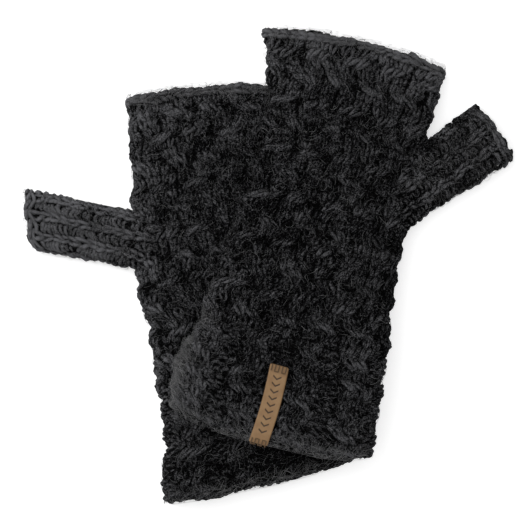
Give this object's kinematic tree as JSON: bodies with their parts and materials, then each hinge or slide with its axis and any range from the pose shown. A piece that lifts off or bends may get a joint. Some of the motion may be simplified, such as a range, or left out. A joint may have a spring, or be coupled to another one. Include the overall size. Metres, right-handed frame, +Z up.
{
  "type": "fingerless knitted mitts",
  "caption": "Pair of open-ended hand-knitted wool mitts with ribbed cuffs and open thumb tubes, laid flat and overlapping, with a sewn-on leather tag.",
  "frame": {"origin": "on the table, under the middle of the laid pair's bounding box", "axes": "+Z up from the table, +Y towards the finger openings, +X towards the side of the upper mitt's thumb, along the longest side of the laid pair"},
  "size_m": [0.2669, 0.2532, 0.0324],
  "materials": {
    "wool_crossed": "matte",
    "wool_rib": "matte",
    "wool_bind_off": "matte",
    "wool_cast_on": "matte",
    "tan_leather": "satin",
    "black_thread": "matte"
  },
  "bodies": {
    "back_mitt": {"back_hem_edge": "wool_cast_on", "back_wrist_rib": "wool_rib", "back_hand_body": "wool_crossed", "back_finger_edge": "wool_bind_off", "back_thumb_gusset": "wool_crossed"},
    "back_thumb": {"back_thumb_sleeve": "wool_rib", "back_thumb_edge": "wool_bind_off"},
    "front_mitt": {"front_hem_edge": "wool_cast_on", "front_wrist_rib": "wool_rib", "front_hand_body": "wool_crossed", "front_finger_edge": "wool_bind_off", "front_thumb_gusset": "wool_crossed", "leather_tag": "tan_leather", "tag_stitches_upper": "black_thread", "tag_stitches_lower": "black_thread"},
    "front_thumb": {"front_thumb_sleeve": "wool_rib", "front_thumb_edge": "wool_bind_off"}
  },
  "joints": [
    {"name": "front_lift", "type": "slide", "parent": "back_mitt", "child": "front_mitt", "axis": [0, 0, 1], "range_m": [0, 0.15]},
    {"name": "front_thumb_swing", "type": "hinge", "parent": "front_mitt", "child": "front_thumb", "pos_m": [0.07034, 0.03567, 0.0073], "axis": [0, 0, -1], "range_deg": [0, 40]},
    {"name": "back_thumb_swing", "type": "hinge", "parent": "back_mitt", "child": "back_thumb", "pos_m": [-0.05763, 0.01247, 0.0073], "axis": [0, 0, 1], "range_deg": [-30, 12]}
  ]
}
